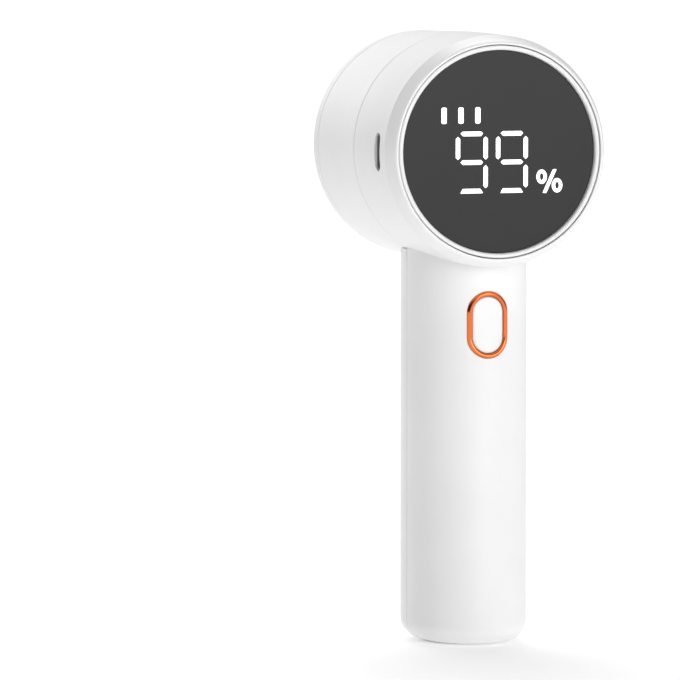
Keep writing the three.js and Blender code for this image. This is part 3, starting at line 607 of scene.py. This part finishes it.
VENT_COLUMNS = (-2.9, 2.9)       # the two rows of air holes that show as dots
VENT_PITCH = 5.95
VENT_ROWS = 8
VENT_R = 0.62


def build_liner():
    middle = (LINER_LOW[2] + LINER_HIGH[2]) / 2
    outline = stadium(LINER_HIGH[0] * 2, LINER_HIGH[2] - LINER_LOW[2])
    front, back = LINER_LOW[1], LINER_HIGH[1]

    def ring(y, scale):
        return [(x * scale, y, middle + z * scale) for x, z in outline]
    rings = [ring(front, 1), ring(back - 0.3, 1), ring(back - 0.08, 0.993), ring(back, 0.98)]
    plate = loft("dotted_liner", rings)
    vents = []
    for x in VENT_COLUMNS:
        for row in range(VENT_ROWS):
            z = WINDOW_Z + (row - (VENT_ROWS - 1) / 2) * VENT_PITCH
            vents.append(slab("vent", circle((x, z), VENT_R), front - 1, back + 1))
    boolean(plate, merged("vents", vents))
    return dress(plate, "housing", LINER, "liner", "bin_liner")


# ------------------------------------------------------------------ display

TRIM_GAP = 0.24                  # groove between the trim ring and the rim of the head
TRIM_DEPTH = 3.1
TRIM_SINK = 0.2                  # how far its crown lies behind the front of the head
LENS_THICK = 1.6
DIGIT_W = 9.2                    # size of a digit over its strokes
DIGIT_H = 16.75
STROKE = 1.26
SEGMENT_GAP = 1.45               # taken off the length of each segment
GLYPH_Z = HEAD_Z - 2.83          # middle of the digits
DIGIT_CENTRES = (-7.70, 3.82)
BAR_CENTRES = (-15.65, -10.82, -5.99)    # the three charge bars
BAR_SIZE = (1.5, 4.4)
BAR_Z = HEAD_Z + 9.9
BAR_EDGE = 0.5
GLYPH_FRONT = 0.03               # how far the lit parts stand out of the lens
GLYPH_BACK = 0.3                 # and how far they reach into it
PERCENT_X = (12.4, 16.87)        # middles of the percent sign's two rings, from the head's axis
PERCENT_Z = (-6.95, -9.35)
PERCENT_RING = (1.52, 1.95, 1.0)    # half width, half height and stroke of each ring
SLASH = ((12.65, -11.4), (13.75, -11.4), (16.75, -4.95), (15.65, -4.95))    # its corners, likewise


def build_trim():
    outer, inner, crown = MOUTH_R - TRIM_GAP, LENS_R + 0.1, HEAD_FRONT + TRIM_SINK
    profile = [(inner, HEAD_FRONT + TRIM_DEPTH), (outer, HEAD_FRONT + TRIM_DEPTH), (outer, crown + 0.35)]
    profile += curve((outer, crown + 0.35), (outer - 0.1, crown + 0.05), (outer - 0.5, crown), 8)
    profile += curve((outer - 0.5, crown), (inner + 0.1, crown), (inner, crown + 0.7), 10)
    return dress(turned("display_trim", profile), "housing", WHITE, "shell", "display_trim_ring")


def build_lens():
    back = LENS_FACE + LENS_THICK
    profile = rounded([(0, back), (0, LENS_FACE), (LENS_R, LENS_FACE, 0.14), (LENS_R, back)])
    return dress(turned("display_window", profile), "housing", LENS, "lens", "display_lens")


def bar_outline(length, lean=0.0):
    """A seven-segment bar along X. lean moves its pointed ends up or down."""
    half, tip = STROKE / 2, length / 2
    rise = lean * half
    corners = [(-tip, rise), (rise - tip + half, -half), (tip - half - rise * 0.4, -half),
               (tip, rise), (tip - half + rise * 0.4, half), (half - tip, half)]
    return rounded([(x, z, 0.14) for x, z in corners], 3)


def glyph(name, outline, centre, quarter=False):
    """A lit part of the display; quarter turns its outline upright."""
    points = [(-z, x) for x, z in outline] if quarter else outline
    return slab(name, points, LENS_FACE - GLYPH_FRONT, LENS_FACE + GLYPH_BACK, centre)


def nine(centre_x):
    """The six lit segments of a nine."""
    reach_x, reach_z = (DIGIT_W - STROKE) / 2, (DIGIT_H - STROKE) / 2
    pieces = []
    for z, lean in ((reach_z, 0.15), (0, 0), (-reach_z, -0.8)):
        lying = bar_outline(2 * reach_x - SEGMENT_GAP, lean)
        pieces.append(glyph("segment", lying, (centre_x, GLYPH_Z + z)))
    upright = bar_outline(reach_z - SEGMENT_GAP)
    for x, z in ((-reach_x, reach_z / 2), (reach_x, reach_z / 2), (reach_x, -reach_z / 2)):
        pieces.append(glyph("segment", upright, (centre_x + x, GLYPH_Z + z), quarter=True))
    return pieces


def oval(centre, half_width, half_height, band):
    """A small letter o: an oval ring."""
    outer = glyph("oval", arc((0, 0), (half_width, half_height), 0, 350, 35), centre)
    hole = arc(centre, (half_width - band, half_height - band), 0, 350, 35)
    return boolean(outer, slab("hole", hole, LENS_FACE - 1, LENS_FACE + 1))


def percent():
    slash = rounded([(x, z, 0.3) for x, z in SLASH], 3)
    ovals = [oval((x, HEAD_Z + z), *PERCENT_RING) for x, z in zip(PERCENT_X, PERCENT_Z)]
    return ovals + [slab("slash", slash, LENS_FACE - 0.05, LENS_FACE + GLYPH_BACK, (0, HEAD_Z))]


def build_digits():
    pieces = [part for x in DIGIT_CENTRES for part in nine(x)] + percent()
    half, tall = (side / 2 for side in BAR_SIZE)
    bar = rounded([(x, z, BAR_EDGE) for x, z in ((-half, -tall), (half, -tall), (half, tall), (-half, tall))])
    pieces += [glyph("bar", bar, (x, BAR_Z)) for x in BAR_CENTRES]
    return dress(merged("lit_digits", pieces), "housing", DIGITS, "digits")


# ------------------------------------------------------------------ power button

BEZEL_DEPTH = 2.4                # of the copper ring behind the handle's surface
CAP_DEPTH = 2.6                  # of the button's cap
CAP_GAP = 0.16                   # between the cap and the ring, both sides together
CAP_DISH = 0.22                  # how far the cap's middle is dished


def skin_ring(inset, height_over):
    """A stadium laid on the front of the handle, standing proud of its surface by a height."""
    size = [side - 2 * inset for side in BUTTON_SIZE]
    return [(x, -surface_y(x, -1) - height_over, BUTTON_Z + z) for x, z in stadium(*size)]


def build_bezel():
    """The copper ring: a rounded bead over straight flanks, run round the button."""
    section = [(0, -BEZEL_DEPTH), (0, -0.05), (0.08, 0.2), (0.3, 0.5), (0.5, 0.62), (0.72, 0.66), (0.95, 0.6)]
    section += [(BUTTON_BAND - 0.22, 0.42), (BUTTON_BAND - 0.06, 0.12), (BUTTON_BAND, -0.2)]
    section += [(BUTTON_BAND, -BEZEL_DEPTH)]
    rows = [skin_ring(inset, height) for inset, height in section]
    count = len(rows[0])
    points = [p for row in rows for p in row]
    faces = []
    for k in range(len(rows)):
        following = (k + 1) % len(rows)
        for i in range(count):
            n = (i + 1) % count
            faces.append((k * count + i, k * count + n, following * count + n, following * count + i))
    return dress(mesh_object("button_ring", points, faces), "housing", COPPER, "copper", "button_bezel")


def build_button():
    """The white cap: a softened edge and a shallow dish."""
    steps = [(0, -CAP_DEPTH), (0, -0.32), (0.06, -0.18), (0.2, -0.08), (0.5, -0.04)]
    for inset in np.linspace(1, 4.2, 9):
        fall = math.sin(min(1, (inset - 0.5) / 3) * math.pi / 2) ** 2
        steps.append((inset, -0.04 - CAP_DISH * fall))
    rings = [skin_ring(BUTTON_BAND + CAP_GAP / 2 + inset, height) for inset, height in steps]
    return dress(loft("button_cap", rings), "button", WHITE, "shell", "power_button")


# ------------------------------------------------------------------ charging socket

SLEEVE_X = (-31.0, -24.6)        # outer and inner end of the charging socket
SLEEVE_SIZE = (3.9, 10.2)
MOUTH_RINGS = ((-32.4, 3.3, 9.4), (-30.6, 3.0, 9.1), (-25.6, 2.9, 9.0))    # x, width and height of its mouth


def build_socket():
    def ring(x, width, height):
        return [(x, USB_Y - u, HEAD_Z + w) for u, w in stadium(width, height)]
    sleeve = loft("socket_sleeve", [ring(x, *SLEEVE_SIZE) for x in SLEEVE_X])
    boolean(sleeve, loft("hole", [ring(*row) for row in MOUTH_RINGS]))
    return dress(sleeve, "housing", SOCKET, "steel", "usb_socket")


# ------------------------------------------------------------------ cutting net

NET_THICK = 0.5
ROUND_ROWS = ((22.3, 0, 1.285), (18.9, 0.5, 1.2))     # radius, turn in steps, and radius of the holes
RING_HOLES = 32                  # holes in each round row
HOLE_PITCH = 3.45                # of the honeycomb inside them
HOLE_R = 1.1
# The honeycomb's columns from the middle outwards: the heights of their holes, in pitches above the middle.
COLUMNS = ((2, 3, 4), (1.5, 2.5, 3.5), (0, 1, 2, 3, 4), (0.5, 1.5, 2.5, 3.5), (0, 1, 2), (0.5,))
SMALL_R = 0.7                    # of the small holes between the rows and round the middle
SMALL_HOLES = ((15.7, -11), (15.7, 11), (4.3, 0))     # their radii and turns in each sixth of the net
COUNTERSINK = 0.2


def net_holes():
    """(x, z, radius) of every hole, from the net's centre."""
    holes = []
    for k in range(RING_HOLES):
        for radius, turn, size in ROUND_ROWS:
            angle = 2 * math.pi * (k + turn) / RING_HOLES
            holes.append((radius * math.cos(angle), radius * math.sin(angle), size))
    for column, steps in enumerate(COLUMNS):
        x = column * HOLE_PITCH * math.cos(math.pi / 6)
        spots = {(sx * x, sz * step * HOLE_PITCH) for step in steps for sx in (-1, 1) for sz in (-1, 1)}
        holes += [(px, pz, HOLE_R) for px, pz in sorted(spots)]
    for k in range(6):
        for radius, turn in SMALL_HOLES:
            angle = math.radians(30 + 60 * k + turn)
            holes.append((radius * math.cos(angle), radius * math.sin(angle), SMALL_R))
    return holes + [(0.0, 0.0, SMALL_R)]


def dome(radius):
    """The plane that the net's outer face has reached at a radius."""
    return NET_EDGE + NET_DOME * (1 - (radius / NET_R) ** 2)


def build_net():
    radii = np.linspace(0, NET_R - 0.2, 44)
    top = [(r, dome(r)) for r in radii]
    edge = [(NET_R, dome(NET_R) - 0.12), (NET_R, dome(NET_R) - NET_THICK)]
    under = [(r, dome(r) - NET_THICK) for r in radii[::-1]]
    plate = turned("domed_net", top + edge + under, 128)
    drills = []
    for x, z, radius in net_holes():
        crown = dome(math.hypot(x, z))
        rings = []
        for y, r in ((crown - 2.2, radius), (crown - 0.14, radius), (crown + 0.12, radius + COUNTERSINK)):
            rings.append([(px, y, pz) for px, pz in circle((x, HEAD_Z + z), r)])
        drills.append(loft("drill", rings))
    boolean(plate, merged("drills", drills))
    return dress(plate, "net_cartridge", NET, "net", "net_plate", sharp=24)


# ------------------------------------------------------------------ blade disc

BLADES = 6
CARRIER_R = CARRIER_HIGH[0]
DISC_Y = (30.0, 32.0)            # the disc's planes, towards the motor and towards the net
HUB_DEPTH = 5.5                  # how far the hub reaches from the disc towards the motor
HUB_R = 7
BOSS = (13.6, 1.3)               # radius and height of the raised middle
RIM_WIDTH = 1.5
RIM_HEIGHT = 1.4
WINDOW_OUTER = (20.9, 19, 14)    # an arc window's outer edge: radius, half angle and steps
WINDOW_INNER = (15.2, 15, 12)    # its inner edge
SOCKET_R = 4.7                   # corner radius of the hexagonal drive socket
SOCKET_END = 29.7
HOLDERS = (                      # beside each blade: extent along it, extent across it, height
    ((6.2, CARRIER_R - 1.2), (0.55, 2.3), 3.4),
    ((8.2, 19.5), (-2.6, -0.55), 2.6),
)
BLADE_SPAN = (4.6, 22.2)         # from the inner to the outer end of a blade
BLADE_HALF = 0.25                # half its thickness
BLADE_FOOT = 33.4                # the plane of its lower edge
BLADE_CLEAR = 0.45               # between its upper edge and the net


def spin(points, degrees):
    """Points turned about the head's axis."""
    c, s = math.cos(math.radians(degrees)), math.sin(math.radians(degrees))
    return [(x * c + (z - HEAD_Z) * s, y, HEAD_Z - x * s + (z - HEAD_Z) * c) for x, y, z in points]


def block_rings(x, z, y0, y1, bevel=0.25):
    """Rings of a block with softened edges, lying along X from the head's axis."""
    def ring(inset, y):
        corners = [(x[0] + inset, z[0] + inset), (x[1] - inset, z[0] + inset), (x[1] - inset, z[1] - inset),
                   (x[0] + inset, z[1] - inset)]
        return [(px, y, HEAD_Z + pz) for px, pz in rounded([(*c, 0.3) for c in corners], 3)]
    return [ring(0, y0), ring(0, y1 - bevel), ring(bevel * 0.3, y1 - bevel * 0.3), ring(bevel, y1)]


def carrier_disc():
    """The disc with its hub, raised middle and rim, and an arc window between each two blades."""
    y0, y1 = DISC_Y
    boss_r, boss_top, rim_top, hub_end = BOSS[0], y1 + BOSS[1], y1 + RIM_HEIGHT, y0 - HUB_DEPTH
    profile = [(0, hub_end), (0, boss_top), (boss_r, boss_top, 0.5), (boss_r + 0.6, y1, 0.4)]
    profile += [(CARRIER_R - RIM_WIDTH - 0.1, y1, 0.3), (CARRIER_R - RIM_WIDTH, rim_top, 0.3)]
    profile += [(CARRIER_R, rim_top, 0.3), (CARRIER_R, y0, 0.3)]
    profile += [(HUB_R + 0.2, y0, 0.3), (HUB_R, hub_end, 0.3)]
    plate = turned("blade_disc", rounded(profile, 4), 144)
    for k in range(BLADES):
        middle = 360 * (k + 0.5) / BLADES
        radius, half, steps = WINDOW_OUTER
        window = arc((0, 0), (radius, radius), middle - half, middle + half, steps)
        last = len(window) - 1
        radius, half, steps = WINDOW_INNER
        window += arc((0, 0), (radius, radius), middle + half, middle - half, steps)
        outline = rounded_ends(window, (0, last, last + 1, len(window) - 1))
        boolean(plate, slab("window", outline, y0 - 3, y1 + 5, (0, HEAD_Z)))
    return plate


def rounded_ends(points, where, radius=1.2):
    """Rounds chosen corners of an outline, and drops the points that lie too near them."""
    corners = [(x, z, radius if i in where else 0) for i, (x, z) in enumerate(points)]
    trimmed = [c for i, c in enumerate(corners)
               if i in where or all(math.dist(c[:2], corners[j][:2]) > radius for j in where)]
    return rounded(trimmed, 5)


def build_carrier():
    plate = carrier_disc()
    top = DISC_Y[1]
    for k in range(BLADES):
        turn = 360 * k / BLADES
        for x, z, height in HOLDERS:
            rings = [spin(ring, turn) for ring in block_rings(x, z, top - 1, top + height)]
            boolean(plate, loft("holder", rings), "UNION")
    boolean(plate, slab("socket", circle((0, 0), SOCKET_R, 6), 20, SOCKET_END, (0, HEAD_Z)))
    return dress(plate, "rotor", WHITE_INNER, "white_inner", "blade_carrier")


def build_blade(index):
    """One steel blade on edge, its top following the net, with a ground bevel along it."""
    half = BLADE_HALF
    rings = []
    for r in np.linspace(*BLADE_SPAN, 24):
        crest = dome(r) - NET_THICK - BLADE_CLEAR
        section = [(-half, BLADE_FOOT), (half, BLADE_FOOT)]
        section += [(half, crest - 0.9), (0.02, crest), (-half, crest)]
        rings.append([(r, y, HEAD_Z + z) for z, y in section])
    rings = [spin(ring, 360 * index / BLADES) for ring in rings]
    blade = loft(f"steel_blade_{index + 1}", rings)
    return dress(blade, "rotor", STEEL, "steel", f"blade_{index + 1}")


# ------------------------------------------------------------------ foot


def build_pad():
    """The foot: a flat oval with a softened edge and a shallow groove round it."""
    steps = [(0, PAD_HIGH[2]), (0, 0.3), (0.1, 0.1), (0.35, 0)]
    steps += [(1.6, 0), (1.7, 0.25), (2.6, 0.25), (2.7, 0), (6, 0)]
    rings = [pad_ring(-inset, z) for inset, z in steps]
    return dress(loft("foot_pad", rings), "housing", PAD, "pad", "base_pad")


# ------------------------------------------------------------------ CAD nodes that are kept

FINISHES = {"white_inner": WHITE_INNER, "shell": WHITE, "steel": STEEL, "dark": DARK, "board": BOARD,
            "liner": LINER, "digits": DIGITS, "cell": CELL, "red_wire": RED, "black_wire": BLACK,
            "brass": BRASS}


def finish_cad_nodes():
    """Procedural materials on the CAD nodes that keep their own shape."""
    slots = {part["node"]: part["material_slot"] for part in frame["record"]["subparts"]}
    for name, node in frame["nodes"].items():
        material = FINISHES.get(slots[name])
        if material:
            node.data.materials.clear()
            node.data.materials.append(material)


# ------------------------------------------------------------------ stage, lights and camera

CAMERA_AZIMUTH = -18.32
CAMERA_ELEVATION = 4.15
CAMERA_DISTANCE = 1.810
CAMERA_LENS = 347.8
CAMERA_TARGET = (-0.0340, 0.0829)    # across the view and up
FLOOR_REACH = 12000
FLOOR_STEPS = 96
FLOOR_GLOW = 0.27                # the floor's own light, which keeps it near white away from the foot


def direction(azimuth, elevation):
    """Unit vector from the object towards a place round it."""
    a, e = math.radians(azimuth), math.radians(elevation)
    return Vector((math.sin(a) * math.cos(e), -math.cos(a) * math.cos(e), math.sin(e)))


def build_camera():
    data = bpy.data.cameras.new("camera")
    data.lens, data.sensor_width = CAMERA_LENS, 36
    data.clip_start, data.clip_end = 0.01, 100
    camera = bpy.data.objects.new("camera", data)
    back = direction(CAMERA_AZIMUTH, CAMERA_ELEVATION)
    turn = math.radians(CAMERA_AZIMUTH)
    across, up = CAMERA_TARGET
    target = Vector((across * math.cos(turn), across * math.sin(turn), up))
    camera.location = target + back * CAMERA_DISTANCE
    camera.rotation_mode = "QUATERNION"
    camera.rotation_quaternion = (-back).to_track_quat("-Z", "Y")
    bpy.context.scene.collection.objects.link(camera)
    bpy.context.scene.camera = camera


def build_floor():
    """A wide round floor that looks white: pale, matt and a little lit."""
    rim = circle((0, 0), FLOOR_REACH, FLOOR_STEPS)
    floor = loft("floor", [[(x, y, z) for x, y in rim] for z in (0, -10)])
    nodes = Nodes("pale_floor")
    nodes.tint(nodes.noise(3, 2), (0.95,) * 3, (0.955,) * 3, nodes.shader.inputs["Base Color"])
    nodes.shader.inputs["Roughness"].default_value = 0.9
    nodes.shader.inputs["Specular IOR Level"].default_value = 0.1
    nodes.shader.inputs["Emission Color"].default_value = (1, 1, 1, 1)
    nodes.shader.inputs["Emission Strength"].default_value = FLOOR_GLOW
    floor.data.materials.append(nodes.material)


LOBES = (                        # azimuth, elevation, strength, sharpness of each soft light in the studio
    (16, 8, 5.2, 20),
    (70, 25, 1.2, 20),
    (-12, 25, 1.7, 20),
    (-90, 50, 1.2, 20),
    (180, 8, 2.6, 20),
    (-150, 20, 1.2, 20),
    (165, 60, 5.8, 20),
)
FILL = 0.02                      # even light from everywhere


def build_world():
    """Soft lights on the walls of a studio, which the camera itself sees as plain white."""
    world = bpy.data.worlds.new("studio")
    bpy.context.scene.world = world
    world.use_nodes = True
    tree = world.node_tree
    tree.nodes.clear()

    def math_node(operation, *values):
        node = tree.nodes.new("ShaderNodeMath")
        node.operation = operation
        for socket, value in zip(node.inputs, values):
            if isinstance(value, (int, float)):
                socket.default_value = value
            else:
                tree.links.new(value, socket)
        return node.outputs[0]

    out = tree.nodes.new("ShaderNodeOutputWorld")
    place = tree.nodes.new("ShaderNodeTexCoord")
    total = None
    for azimuth, elevation, strength, sharpness in LOBES:
        dot = tree.nodes.new("ShaderNodeVectorMath")
        dot.operation = "DOT_PRODUCT"
        dot.inputs[1].default_value = direction(azimuth, elevation)
        tree.links.new(place.outputs["Generated"], dot.inputs[0])
        fall = math_node("EXPONENT", math_node("MULTIPLY_ADD", dot.outputs["Value"], sharpness, -sharpness))
        total = math_node("MULTIPLY_ADD", fall, strength, FILL if total is None else total)
    glow = tree.nodes.new("ShaderNodeBackground")
    glow.inputs["Color"].default_value = (1, 1, 1, 1)
    tree.links.new(total, glow.inputs["Strength"])
    backdrop = tree.nodes.new("ShaderNodeBackground")
    backdrop.inputs["Color"].default_value = (1, 1, 1, 1)
    path = tree.nodes.new("ShaderNodeLightPath")
    mix = tree.nodes.new("ShaderNodeMixShader")
    tree.links.new(path.outputs["Is Camera Ray"], mix.inputs["Fac"])
    tree.links.new(glow.outputs["Background"], mix.inputs[1])
    tree.links.new(backdrop.outputs["Background"], mix.inputs[2])
    tree.links.new(mix.outputs["Shader"], out.inputs["Surface"])


def main():
    build_camera()
    build_floor()
    build_world()
    bpy.context.scene.view_settings.view_transform = "Standard"
    finish_cad_nodes()
    build_front()
    build_rear()
    build_cover()
    build_window()
    build_liner()
    build_trim()
    build_lens()
    build_digits()
    build_bezel()
    build_button()
    build_socket()
    build_lock_ring()
    build_net()
    build_carrier()
    for index in range(BLADES):
        build_blade(index)
    build_pad()


main()
